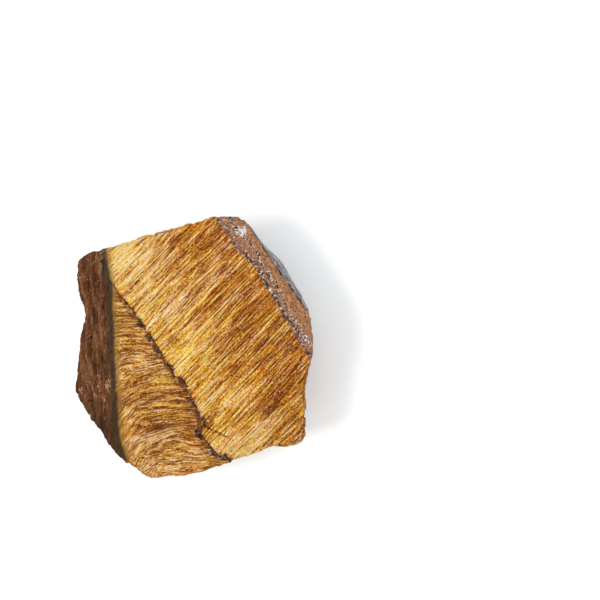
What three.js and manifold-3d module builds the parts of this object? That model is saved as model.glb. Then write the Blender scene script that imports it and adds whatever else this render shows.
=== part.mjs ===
// A rough piece of tiger's eye, broken from its vein and lying on its flat underside.
// Millimetres, +Z up. The origin is the middle of the bounding box's underside.
// +X points towards the ironstone wall of the vein and +Y towards the straight back edge.
// The stone is one natural piece, so the group holds one mesh.
import * as THREE from "three";
import { mergeVertices } from "three/addons/utils/BufferGeometryUtils.js";
import { TessellateModifier } from "three/addons/modifiers/TessellateModifier.js";
import { ImprovedNoise } from "three/addons/math/ImprovedNoise.js";
import Module from "manifold-3d";

const wasm = await Module();
wasm.setup();

// Driving dimensions.
const TOP = 26; // height of the main broken face
const EDGE = 3.8; // longest triangle edge once the facets are divided
const WORN = 0.55; // how far the facets wander from true planes
const REACH = 120; // side of a cutting block, larger than the stone
const FLAT_BELOW = 0.4; // the underside stays a true plane up to here
const FULL_ABOVE = 4; // and the facets wander fully from here up

// The stone's outline in plan, anticlockwise from the ironstone corner at the back.
const OUTLINE = [
  [12.9, 29.2], [10.4, 30.5], [6.7, 30.4], [-0.3, 28.5], [-13.7, 25.0], [-17.2, 23.9],
  [-24.5, 21.5], [-26.7, 19.8], [-26.4, 13.2], [-24.8, 6.0], [-26.0, 1.6], [-26.9, -6.5],
  [-28.2, -11.0], [-25.0, -15.2], [-15.4, -26.8], [-9.5, -30.4], [-5.4, -30.1], [0.8, -29.1],
  [7.6, -26.7], [10.3, -26.2], [14.6, -24.8], [18.8, -22.6], [22.9, -22.4], [25.6, -21.8],
  [27.2, -19.6], [26.4, -14.5], [25.7, -10.5], [27.0, -5.2], [28.1, -0.3], [27.5, 6.8],
  [25.4, 12.3], [20.3, 20.6], [16.5, 24.1],
];

// Rings of the blank from the underside up: height, and the share of the outline kept there.
const RINGS = [
  { z: 0, keep: 0.76 },
  { z: 3.5, keep: 0.9 },
  { z: 10, keep: 1 },
  { z: TOP + 2, keep: 1 },
];

// The dark seam between the two fibre bands, from the crust's edge to the front edge.
const SEAM = [
  [-18.3, 14.9], [-14.1, 9.1], [-9.1, 2.5], [-4.2, -6.7], [-2.0, -6.9],
  [1.8, -15.1], [2.9, -17.3], [1.5, -19.5], [5.5, -24.1], [9.6, -27.0],
];

// Each facet is a plane: a point on it, the bearing in plan that it looks towards, and how far
// it looks up, both in degrees. All stone beyond the plane is broken away.
const UPPER_FACETS = {
  mainFace: { through: [0, 0, TOP], bearing: 60, rise: 89 },
  crustFace: { through: [-17.5, 0.5, TOP], bearing: 186, rise: 37 },
  ironstoneShoulder: { through: [16.8, 14.7, TOP], bearing: 33, rise: 69 },
  silkySide: { through: [21.5, 19.7, TOP - 4.5], bearing: 29, rise: 17 },
  frontLedge: { through: [16.5, -18.1, TOP - 0.1], bearing: -48, rise: 64 },
  frontLip: { through: [-8.4, -26.9, TOP - 3.4], bearing: -112, rise: 62 },
};
const SIDE_FACETS = {
  backWall: { through: [-2.4, 27.9, TOP - 2], bearing: 105, rise: -7 },
  backLeft: { through: [-21.4, 22.8, TOP - 10], bearing: 112, rise: -14 },
  leftFoot: { through: [-26.2, 4.5, 9], bearing: 176, rise: -33 },
  frontLeft: { through: [-22.0, -19.9, TOP - 9], bearing: 217.6, rise: -9 },
  frontWall: { through: [0.6, -29.1, TOP - 7], bearing: -76, rise: -10 },
  rightWall: { through: [26.4, -13.5, TOP - 9], bearing: -4, rise: -8 },
  rightFoot: { through: [26.8, 4.5, 8], bearing: 12, rise: -34 },
};
const LOWER_CHIPS = {
  backFoot: { through: [-3.4, 24.8, 7], bearing: 96, rise: -36 },
  frontFoot: { through: [4.6, -24.3, 7], bearing: -84, rise: -40 },
  cornerFoot: { through: [19.6, -19.6, 6], bearing: -44, rise: -38 },
  crustFoot: { through: [-20.4, -15.6, 6], bearing: 222, rise: -36 },
  ironFoot: { through: [18.6, 18.4, 6], bearing: 44, rise: -42 },
};
// The band of bent fibres lies lower than the main face, on the crust's side of the seam only.
const BENT_BAND = { through: [-8.8, 2.5, TOP - 0.75], bearing: 214, rise: 82.5 };

// A closed geometry as a manifold-3d solid.
function solidOf(geometry) {
  const bare = geometry.clone();
  bare.deleteAttribute("normal");
  bare.deleteAttribute("uv");
  const merged = mergeVertices(bare, 1e-4);
  return new wasm.Manifold(new wasm.Mesh({
    numProp: 3,
    vertProperties: merged.attributes.position.array,
    triVerts: new Uint32Array(merged.index.array),
  }));
}

// A manifold-3d solid as a geometry with positions and an index.
function geometryOf(solid) {
  const mesh = solid.getMesh();
  const geometry = new THREE.BufferGeometry();
  geometry.setAttribute("position", new THREE.BufferAttribute(mesh.vertProperties, 3));
  geometry.setIndex(new THREE.BufferAttribute(mesh.triVerts, 1));
  return geometry;
}

// The uncut blank: the outline carried up through the rings, closed at both ends.
function blank() {
  const count = OUTLINE.length;
  const positions = RINGS.flatMap(({ z, keep }) => OUTLINE.flatMap(([x, y]) => [x * keep, y * keep, z]));
  const index = [];
  for (let ring = 0; ring + 1 < RINGS.length; ring++) {
    for (let i = 0; i < count; i++) {
      const a = ring * count + i;
      const b = ring * count + (i + 1) % count;
      index.push(a, b, b + count, a, b + count, a + count);
    }
  }
  const lid = (RINGS.length - 1) * count;
  const plan = OUTLINE.map(([x, y]) => new THREE.Vector2(x, y));
  for (const [a, b, c] of THREE.ShapeUtils.triangulateShape(plan, [])) {
    index.push(lid + a, lid + b, lid + c, c, b, a);
  }
  const geometry = new THREE.BufferGeometry();
  geometry.setAttribute("position", new THREE.Float32BufferAttribute(positions, 3));
  geometry.setIndex(index);
  return solidOf(geometry);
}

// The block of stone that lies beyond a facet's plane.
function beyond({ through, bearing, rise }) {
  const block = new THREE.BoxGeometry(REACH, REACH, REACH).translate(0, 0, REACH / 2);
  const turn = THREE.MathUtils.degToRad(bearing);
  const lift = THREE.MathUtils.degToRad(rise);
  const normal = new THREE.Vector3(
    Math.cos(lift) * Math.cos(turn), Math.cos(lift) * Math.sin(turn), Math.sin(lift),
  );
  block.applyQuaternion(new THREE.Quaternion().setFromUnitVectors(new THREE.Vector3(0, 0, 1), normal));
  return solidOf(block.translate(...through));
}

// A column standing on a plan polygon, from well below the stone to well above it.
function column(points) {
  const shape = new THREE.Shape(points.map(([x, y]) => new THREE.Vector2(x, y)));
  const geometry = new THREE.ExtrudeGeometry(shape, { depth: REACH, bevelEnabled: false });
  return solidOf(geometry.translate(0, 0, -REACH / 2));
}

// The stone with every facet broken away and the step at the seam.
function brokenStone() {
  let stone = blank();
  for (const facet of Object.values({ ...UPPER_FACETS, ...SIDE_FACETS, ...LOWER_CHIPS })) {
    stone = stone.subtract(beyond(facet));
  }
  const seamEnd = SEAM.at(-1);
  const bentSide = [[-REACH, SEAM[0][1]], [-REACH, -REACH], [seamEnd[0], -REACH], ...SEAM.toReversed()];
  return stone.subtract(column(bentSide).intersect(beyond(BENT_BAND)));
}

// Moves each vertex by smooth noise, so that no facet is a true plane but the underside.
function wander(geometry) {
  const noise = new ImprovedNoise();
  const waves = [{ per: 0.11, share: 1 }, { per: 0.29, share: 0.45 }];
  const offsets = [[3.1, 7.7, 1.3], [11.9, 2.3, 5.1], [6.7, 9.1, 13.3]];
  const place = geometry.attributes.position;
  const point = new THREE.Vector3();
  for (let i = 0; i < place.count; i++) {
    point.fromBufferAttribute(place, i);
    const fade = WORN * THREE.MathUtils.smoothstep(point.z, FLAT_BELOW, FULL_ABOVE);
    const moved = offsets.map(([x, y, z]) => waves.reduce((sum, { per, share }) =>
      sum + share * fade * noise.noise(point.x * per + x, point.y * per + y, point.z * per + z), 0));
    place.setXYZ(i, point.x + moved[0], point.y + moved[1], point.z + moved[2]);
  }
  return geometry;
}

// Puts the origin at the middle of the bounding box's underside.
function seated(geometry) {
  geometry.computeBoundingBox();
  const { min, max } = geometry.boundingBox;
  return geometry.translate(-(min.x + max.x) / 2, -(min.y + max.y) / 2, -min.z);
}

function tigersEye() {
  const divided = new TessellateModifier(EDGE, 24).modify(geometryOf(brokenStone()));
  const geometry = mergeVertices(seated(wander(divided)), 1e-3);
  geometry.computeVertexNormals();
  const material = new THREE.MeshStandardMaterial({ color: 0xb97a35, roughness: 0.6, metalness: 0 });
  const mesh = new THREE.Mesh(geometry, material);
  mesh.name = "tigers_eye_stone";
  return mesh;
}

const stone = new THREE.Group();
stone.add(tigersEye());
export default stone;
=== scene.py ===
"""Finishes a rough piece of tiger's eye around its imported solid, and stands it in a plain studio."""

import math
from itertools import product

import bmesh
import bpy
import numpy as np
from bpy.props import FloatProperty, FloatVectorProperty, PointerProperty
from mathutils import Matrix, Vector


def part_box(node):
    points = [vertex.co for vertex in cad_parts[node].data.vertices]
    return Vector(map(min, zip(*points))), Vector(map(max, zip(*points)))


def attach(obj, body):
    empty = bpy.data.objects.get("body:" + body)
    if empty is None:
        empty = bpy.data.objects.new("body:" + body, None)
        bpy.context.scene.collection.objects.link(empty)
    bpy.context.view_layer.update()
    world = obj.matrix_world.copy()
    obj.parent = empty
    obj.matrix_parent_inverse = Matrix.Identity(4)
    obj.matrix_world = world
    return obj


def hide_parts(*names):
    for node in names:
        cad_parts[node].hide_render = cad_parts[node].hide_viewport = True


bl_info = {
    "name": "Rough Tiger's Eye",
    "version": (1, 0, 0),
    "blender": (4, 5, 0),
    "location": "View3D > Sidebar > Tiger's Eye",
    "description": "Breaks the surface of a rough tiger's eye and gives it its fibres, crust and ironstone",
    "category": "Object",
}

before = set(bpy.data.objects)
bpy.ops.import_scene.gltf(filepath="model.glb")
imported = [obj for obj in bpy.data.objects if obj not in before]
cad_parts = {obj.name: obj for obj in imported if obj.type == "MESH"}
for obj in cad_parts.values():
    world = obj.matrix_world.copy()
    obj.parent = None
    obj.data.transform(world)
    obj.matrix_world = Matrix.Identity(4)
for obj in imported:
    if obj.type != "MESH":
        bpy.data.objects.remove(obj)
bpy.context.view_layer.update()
NODE = "tigers_eye_stone"
LOWEST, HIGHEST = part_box(NODE)

MM = 0.001
TOP = HIGHEST.z / MM  # height of the main broken face, in millimetres
STRAIGHT_BEARING = math.radians(46)  # the straight fibres' bearing in plan
BENT_BEARING = 0.25  # the bent fibres' bearing in plan, in radians
BENT_MIDDLE = np.array([-8.8, 2.5])  # the place on the seam that the bent fibres dip away from
LAYER_BEARING = math.radians(34)  # the bearing across the vein's layers, towards the ironstone
LAYER_ACROSS = np.array([math.cos(LAYER_BEARING), math.sin(LAYER_BEARING)])
STRIKE = (math.sin(LAYER_BEARING), -math.cos(LAYER_BEARING), 0)  # the way that the ironstone's layers run
LAYER_LEAN = 0.22  # how far the ironstone's layers lean inwards for each millimetre down
FAR = 90  # past the stone on every side, in millimetres
CREASE_ANGLE = math.radians(24)  # facets that meet more sharply than this keep their edge
CREASE = 0.9  # how fully they keep it, up to 1

# Settings of the look that go with no one colour. A hue of 0.5 leaves colours as they are.
STRAIGHT_HUE = 0.502
BENT_HUE = 0.507
SATURATION = 0.98
GLOSSY, DULL = 0.46, 0.72  # roughness of the fibres, and of the crust and the ironstone
BUMP_HEIGHT = 0.3 * MM
SOFTBOX_PLACE = (-0.42, -0.08, 0.74)
SOFTBOX_SIZE = 0.35

# Lines on the main face, in plan, in millimetres. Each runs from the back to the front.
SEAM = [
    (-18.3, 14.9), (-16.9, 12.8), (-15.5, 11.2), (-14.1, 9.1), (-12.6, 7.0), (-11.3, 4.9), (-9.3, 2.0),
    (-7.4, -1.2), (-5.8, -3.1), (-4.6, -5.0), (-4.2, -6.7), (-2.0, -6.9), (-0.9, -9.8), (0.4, -12.4),
    (1.8, -15.1), (2.9, -17.3), (1.5, -19.5), (3.1, -21.5), (5.5, -24.1), (9.3, -25.8),
]
CRUST_EDGE = [
    (-19.8, 22.8), (-19.4, 19.9), (-18.3, 13.5), (-18.2, 8.9), (-17.9, 4.3), (-17.9, 0.4),
    (-17.6, -6.1), (-17.2, -13.2), (-16.7, -21.0), (-15.0, -26.1),
]
IRONSTONE_EDGE = [
    (7.0, 29.4), (7.9, 27.8), (9.3, 26.0), (10.2, 23.9), (11.6, 22.8), (12.9, 21.5),
    (14.5, 19.8), (15.7, 18.3), (16.6, 16.4), (17.7, 14.6), (18.9, 12.6), (20.2, 10.5),
    (21.3, 7.8), (22.7, 6.4), (24.1, 4.1), (25.2, 1.7), (26.6, -0.4), (27.6, -1.6),
]
SPECK_LINE = [
    (10.0, 28.5), (10.9, 27.1), (13.4, 25.3), (14.5, 23.2), (15.7, 21.7), (16.8, 19.8), (17.9, 18.0),
    (19.1, 15.5), (20.7, 13.5), (21.6, 10.7), (22.7, 8.7), (23.9, 7.3), (25.2, 4.6), (26.6, 2.5),
]
SILKY_EDGE = [(16.8, 23.8), (18.4, 21.4), (21.2, 17.5), (24.5, 13.0), (27.5, 8.8)]
FLAKE_CRACK = [(2.9, -17.3), (4.2, -18.4), (9.8, -21.1), (11.8, -22.1)]
QUARTZ_SPOT = (11.5, 26.9, 24.6)  # the largest white grain of the ironstone

# Patches where the fibres differ in tone, and where a painted sheen stands for fibres catching the light:
# middle in plan, bearing, reach along and across, lift, gold and milk.
SHEEN_AND_TONE_PATCHES = [
    # Among the straight fibres.
    (-15.4, 23.6, 46, 6.0, 3.0, 0.12, 0.4, 0.08), (-15.9, 18.3, 46, 8.0, 3.2, 0.22, 0.4, 0.22),
    (-11.4, 24.6, 46, 1.8, 1.2, -0.05, -0.7, -0.1), (-9.0, 17.4, 46, 6.0, 2.6, 0.06, 0.2, 0.2),
    (-12.0, 13.8, 46, 5.0, 1.4, -0.16, 0.0, 0.0), (-4.4, 9.2, 46, 3.6, 2.0, 0.08, 0.0, 0.35),
    (-5.2, 3.8, 46, 2.6, 1.2, 0.2, 0.2, 0.0), (-5.2, -0.4, 46, 2.6, 1.3, -0.26, 0.0, 0.0),
    (1.0, 20.8, 50, 5.6, 1.5, 0.2, 0.1, 0.0), (-8.6, 22.4, 46, 3.0, 1.4, 0.14, 0.1, 0.1),
    (5.8, 26.0, 42, 8.0, 2.0, -0.16, -0.1, 0.0), (7.4, 19.6, 46, 4.0, 1.6, 0.08, 0.0, 0.1),
    (1.4, 13.6, 46, 4.0, 1.8, 0.02, -0.1, 0.2), (14.0, 13.2, 46, 6.0, 2.4, -0.16, -0.05, 0.0),
    (11.8, 12.7, 46, 2.4, 1.2, 0.14, 0.1, 0.1), (7.8, 14.8, 46, 4.0, 1.6, -0.16, 0.0, 0.0),
    (-1.2, 0.0, 46, 7.0, 3.2, 0.22, 0.45, 0.0), (-1.6, -6.4, 46, 3.4, 1.2, -0.14, 0.1, 0.0),
    (7.4, -11.5, 46, 5.0, 2.0, 0.22, 0.15, 0.05), (5.0, -16.3, 46, 4.0, 2.1, -0.28, 0.0, 0.0),
    (10.2, 1.4, 46, 4.0, 1.6, -0.14, 0.0, 0.0), (16.6, -5.2, 46, 2.8, 1.2, 0.2, 0.1, 0.0),
    (22.1, 4.2, 46, 4.0, 2.4, 0.02, 0.25, 0.0), (20.6, -2.6, 46, 8.0, 3.8, -0.21, 0.0, 0.0),
    (19.4, -12.4, 46, 5.4, 2.3, -0.28, 0.1, -0.15), (22.9, -9.4, 46, 2.4, 1.8, -0.25, -0.1, 0.0),
    (17.8, -16.6, 46, 7.0, 1.5, 0.12, 0.0, 0.15), (25.3, -12.8, 46, 1.6, 1.4, 0.22, 0.1, 0.1),
    (15.0, -19.8, 46, 4.6, 1.7, 0.1, 0.0, 0.3), (22.4, -20.0, 46, 5.0, 3.0, -0.1, 0.0, 0.0),
    (8.6, -22.3, 46, 3.2, 1.6, 0.16, 0.15, 0.15), (6.6, 7.8, 46, 3.0, 1.6, 0.18, 0.1, 0.0),
    # Among the bent fibres.
    (-13.6, 7.4, 8, 4.0, 2.6, 0.12, 0.0, 0.06), (-13.4, -4.2, 12, 4.0, 1.8, 0.06, 0.0, 0.3),
    (-6.4, -7.0, 14, 2.8, 1.2, 0.1, 0.5, 0.0), (-9.2, -5.0, 12, 2.6, 1.0, -0.22, -0.1, 0.0),
    (-1.6, -13.5, 10, 2.6, 1.4, -0.12, 0.2, 0.0), (-7.6, -18.4, 12, 3.0, 1.1, -0.36, -0.5, 0.0),
    (-8.8, -20.8, 10, 3.6, 1.3, 0.26, 0.0, 0.4), (-13.8, -21.4, 80, 5.0, 1.8, 0.3, 0.0, 0.06),
    (-8.6, -27.4, 10, 4.6, 2.2, 0.18, 0.0, 0.2), (-10.2, -9.2, 8, 2.8, 0.9, 0.18, 0.1, 0.05),
    (2.6, -24.2, 8, 4.0, 1.2, 0.04, 0.0, 0.2), (-1.6, -27.0, 10, 3.0, 1.3, 0.22, 0.0, 0.1),
]
# Marks on the crust: middle in plan, reach in x and in y, pale above zero and black below. The black mark on
# the left edge is painted shade along the outline.
CRUST_MARKS_AND_EDGE_SHADE = [
    (-20.4, 22.1, 1.0, 1.0, 1.0), (-20.6, 20.1, 0.7, 0.5, -1.0), (-20.2, 18.6, 0.5, 1.8, -0.9),
    (-19.5, -8.8, 1.0, 1.9, 0.75), (-26.2, 3.0, 0.4, 2.4, -0.45), (-26.8, -10.2, 0.7, 0.9, 1.0),
]


# ---------------------------------------------------------------- noise


def scatter(cells, seed):
    """Three numbers from -1 to 1 for each whole-number cell, the same on every run."""
    # The large odd numbers spread the cells and the seed evenly over 32 bits.
    cells = cells.astype(np.int64)
    mixed = cells[:, 0] * 73856093 ^ cells[:, 1] * 19349663 ^ cells[:, 2] * 83492791 ^ seed * 2654435761
    numbers = []
    for _ in range(3):
        mixed = (mixed ^ (mixed >> 15)) * 2246822519 & 0xFFFFFFFF
        mixed = (mixed ^ (mixed >> 13)) * 3266489917 & 0xFFFFFFFF
        numbers.append(mixed / 0x7FFFFFFF - 1)
    return np.stack(numbers, axis=1)


def swell(points, seed):
    """Smooth gradient noise, from about -1 to 1, at points that are divided by the swells' size."""
    cells = np.floor(points)
    inside = points - cells
    fade = inside**3 * (inside * (inside * 6 - 15) + 10)
    total = np.zeros(len(points))
    for corner in product((0, 1), repeat=3):
        corner = np.array(corner)
        weight = np.prod(np.where(corner == 1, fade, 1 - fade), axis=1)
        total += weight * np.einsum("ij,ij->i", scatter(cells + corner, seed), inside - corner)
    return total * 1.6


def splinters(points, seed):
    """For each point, its nearest site's own number from -1 to 1, and how far off the next site is."""
    cells = np.floor(points)
    nearest = np.full(len(points), np.inf)
    second = nearest.copy()
    level = np.zeros(len(points))
    for step in product((-1, 0, 1), repeat=3):
        cell = cells + np.array(step)
        sites = cell + 0.5 + 0.42 * scatter(cell, seed)
        gap = np.linalg.norm(points - sites, axis=1)
        closer = gap < nearest
        second = np.where(closer, nearest, np.minimum(second, gap))
        level = np.where(closer, scatter(cell, seed + 1)[:, 0], level)
        nearest = np.where(closer, gap, nearest)
    return level, second - nearest


def smooth(low, high, value):
    """A smooth change from 0 at low to 1 at high, held level past both. Low may be the larger."""
    share = np.clip((value - low) / (high - low), 0, 1)
    return share * share * (3 - 2 * share)


# ---------------------------------------------------------------- the stone's layers


def off_line(plan, line, beyond):
    """Distance in plan from a line, negative on the side where the corners in beyond lie."""
    corners = np.array(list(line) + list(beyond))
    gap = np.full(len(plan), np.inf)
    for start, end in zip(corners[:len(line) - 1], corners[1:len(line)]):
        along = end - start
        share = np.clip((plan - start) @ along / (along @ along), 0, 1)
        gap = np.minimum(gap, np.linalg.norm(plan - start - share[:, None] * along, axis=1))
    inside = np.zeros(len(plan), bool)
    for start, end in zip(corners, np.roll(corners, -1, axis=0)):
        spans = (start[1] > plan[:, 1]) != (end[1] > plan[:, 1])
        rise = end[1] - start[1] or 1
        crossing = start[0] + (plan[:, 1] - start[1]) / rise * (end[0] - start[0])
        inside ^= spans & (plan[:, 0] < crossing)
    return np.where(inside, -gap, gap)


def seam_gap(places):
    """Distance from the seam: positive among the straight fibres, negative among the bent ones."""
    line = [(-60, 62)] + SEAM + [(36, -70)]
    return off_line(places[:, :2], line, [(-FAR, -FAR), (-FAR, 62)])


def crust_gap(places):
    """Distance in plan from the crust's inner edge: negative on the crust's side."""
    line = [(-23, 60)] + CRUST_EDGE + [(-12, -60)]
    return off_line(places[:, :2], line, [(-FAR, -60), (-FAR, 60)])


def crust_depth(places):
    """Distance from the crust's inner face, which leans outwards at mid height and inwards at the foot."""
    lean, lean_below, lean_height, foot = 0.45, 22, 8, 9
    leaned = places.copy()
    leaned[:, 0] += lean * np.clip(lean_below - places[:, 2], 0, lean_height)
    leaned[:, 0] -= np.clip(foot - places[:, 2], 0, None)
    return crust_gap(leaned)


def beyond_layer(places, line):
    """How far a place lies beyond one of the ironstone's layers, which lean inwards below."""
    leaned = places[:, :2] + LAYER_ACROSS * (LAYER_LEAN * (TOP - places[:, 2]))[:, None]
    before = tuple(np.array(line[0]) + (-24, 40))
    after = tuple(np.array(line[-1]) + (30, -44))
    return off_line(leaned, [before] + line + [after], [(-FAR, -60), (-FAR, FAR)])


def straight_place(places):
    """Places told along and across the straight fibres."""
    along = places[:, 0] * math.cos(STRAIGHT_BEARING) + places[:, 1] * math.sin(STRAIGHT_BEARING)
    across = places[:, 1] * math.cos(STRAIGHT_BEARING) - places[:, 0] * math.sin(STRAIGHT_BEARING)
    # The fibres sway slowly, and bow a little along their whole length.
    drift = 0.5 * swell(places / 17, 5) + 0.00045 * along**2
    return np.stack([along, across + drift, places[:, 2]], axis=1)


def bent_place(places):
    """Places told along and across the bent fibres, which are level at the seam and dip away from it."""
    # The dip grows with the distance back from the seam, and sets in later towards the front.
    back = (BENT_MIDDLE - places[:, :2]) @ LAYER_ACROSS
    bend = np.clip(back - 0.28 * np.clip(-6 - places[:, 1], 0, None), 0, 24)
    across = places[:, 1] + 0.0018 * bend**3
    across += 0.55 * swell(places / np.array([7, 5, 9]), 6) + 0.26 * swell(places / 2.3, 7)
    return np.stack([0.72 * (places[:, 0] - 0.3 * back), across, places[:, 2]], axis=1)


def crack_gap(places):
    """Distance in plan from the fine crack beside the seam, which closes at its end and below the face."""
    gap = np.abs(off_line(places[:, :2], FLAKE_CRACK, [(-FAR, -FAR)]))
    at_end = 0.25 * smooth(8, 11, places[:, 0])
    below = 4 * smooth(1.5, 5, TOP - 2 - places[:, 2])
    return gap + at_end + below


def flake_share(places):
    """1 on the small flake between the seam and its crack, 0 elsewhere."""
    beyond = off_line(places[:, :2], FLAKE_CRACK + [(18, -25)], [(18, 60), (-60, 60), (-60, -17.3)])
    return smooth(0.0, 0.5, beyond) * smooth(0.0, 0.4, seam_gap(places)) * smooth(13.4, 11.6, places[:, 0])


def sheen_and_tone_patches(places):
    """The lift, gold and milk of the patches where the fibres differ in tone and where they carry a painted
    sheen, which fade below the main face.
    """
    total = np.zeros((len(places), 3))
    for x, y, bearing, along, across, *looks in SHEEN_AND_TONE_PATCHES:
        turn = math.radians(bearing)
        gap = places[:, :2] - (x, y)
        gap = np.stack([gap[:, 0] * math.cos(turn) + gap[:, 1] * math.sin(turn),
                        gap[:, 1] * math.cos(turn) - gap[:, 0] * math.sin(turn)], axis=1)
        share = np.exp(-0.8 * ((gap / (along, across)) ** 2).sum(axis=1))
        total += (share * smooth(8, 16, places[:, 2]))[:, None] * np.array(looks)
    return total


def crust_marks_and_edge_shade(places):
    """The pale and black marks on the crust, which fade low on it. The black mark on the left edge is
    painted shade along the outline.
    """
    total = np.zeros(len(places))
    for x, y, reach_x, reach_y, pale in CRUST_MARKS_AND_EDGE_SHADE:
        gap = (places[:, :2] - (x, y)) / (reach_x, reach_y)
        total += pale * np.exp(-((gap**2).sum(axis=1) ** 1.5)) * smooth(8, 14, places[:, 2])
    return total


# ---------------------------------------------------------------- the broken surface


def fibre_relief(told, crosscut, seed, size):
    """How far broken fibres stand out, in millimetres, at places told along and across them.

    Each noise is divided by its size in millimetres along the fibres, across them and down.
    """
    level, gap = splinters(told / np.array([11, 1.5, 2.6]), seed)
    fine, fine_gap = splinters(told / np.array([5, 0.85, 1.4]), seed + 2)
    ridge = swell(told / np.array([8, 0.7, 1.2]), seed + 4)
    clefts = 1 - smooth(0.0, 0.16, gap)
    lengthwise = 0.2 * level + 0.13 * fine + 0.12 * ridge - 0.14 * clefts
    broken_off = 0.36 * level + 0.2 * fine - 0.12 * clefts - 0.05 * (1 - smooth(0, 0.2, fine_gap))
    return size * (lengthwise + (broken_off - lengthwise) * smooth(0.35, 0.85, crosscut))


def crust_relief(places):
    """The lengthwise ridges and furrows of the crust."""
    bend = 0.8 * swell(places / np.array([9, 14, 9]), 31)
    told = np.stack([places[:, 1], places[:, 0] + bend, places[:, 2]], axis=1)
    level, gap = splinters(told / np.array([11, 1.9, 1.9]), 33)
    ridge = swell(told / np.array([8, 1.0, 1.0]), 35)
    fine = swell(told / np.array([4, 0.65, 0.65]), 36)
    bumps = 0.22 * swell(places / np.array([1.6, 1.3, 1.6]), 37) + 0.14 * swell(places / 0.8, 38)
    return 0.34 * level + 0.26 * ridge + 0.12 * fine + bumps - 0.26 * (1 - smooth(0, 0.2, gap))


def ironstone_relief(places, depth):
    """The ledges and grains of the ironstone's thin layers."""
    along = places[:, 0] * LAYER_ACROSS[1] - places[:, 1] * LAYER_ACROSS[0]
    told = np.stack([depth / 0.75, along / 9, places[:, 2] / 9], axis=1)
    return 0.26 * swell(told, 41) + 0.2 * swell(places / 0.9, 42) + 0.16 * swell(places / 2.2, 43)


def field(items, name, width=1, kind=np.float64):
    """One field of all of a mesh's items, in rows where it has more than one number."""
    values = np.zeros(len(items) * width, kind)
    items.foreach_get(name, values)
    return values.reshape(-1, width) if width > 1 else values


def smooth_normals(mesh, rounds=12):
    """Vertex normals averaged over the neighbourhood, for moving vertices and choosing charts."""
    normals = field(mesh.vertex_normals, "vector", 3)
    count = len(normals)
    start, end = field(mesh.edges, "vertices", 2, np.int64).T
    for _ in range(rounds):
        summed = normals.copy()
        for axis in range(3):
            summed[:, axis] += np.bincount(start, normals[end, axis], count)
            summed[:, axis] += np.bincount(end, normals[start, axis], count)
        normals = summed / np.linalg.norm(summed, axis=1)[:, None]
    return normals


def fine_blank(shape):
    """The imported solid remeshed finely, with its mesh lines along the straight fibres."""
    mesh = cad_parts[NODE].data.copy()
    mesh.transform(Matrix.Rotation(-STRAIGHT_BEARING, 4, "Z"))
    work = bmesh.new()
    work.from_mesh(mesh)
    bmesh.ops.remove_doubles(work, verts=work.verts, dist=1e-6)
    crease = work.edges.layers.float.new("crease_edge")
    for edge in work.edges:
        if edge.calc_face_angle(0) > CREASE_ANGLE:
            edge[crease] = CREASE
    work.to_mesh(mesh)
    work.free()
    mesh.materials.clear()
    blank = bpy.data.objects.new("tigers_eye_blank", mesh)
    bpy.context.scene.collection.objects.link(blank)
    blank.modifiers.new("rounding", "SUBSURF").levels = 1
    remesh = blank.modifiers.new("fine mesh", "REMESH")
    remesh.mode = "VOXEL"
    remesh.voxel_size = shape.mesh_step
    fine = bpy.data.meshes.new_from_object(blank.evaluated_get(bpy.context.evaluated_depsgraph_get()))
    bpy.data.objects.remove(blank)
    fine.transform(Matrix.Rotation(STRAIGHT_BEARING, 4, "Z"))
    return fine


def note(mesh, name, values):
    """Stores one number or one vector for each vertex, for the material to read."""
    kind, slot = ("FLOAT", "value") if values.ndim == 1 else ("FLOAT_VECTOR", "vector")
    mesh.attributes.new(name, kind, "POINT").data.foreach_set(slot, values.astype(np.float32).ravel())


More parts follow.
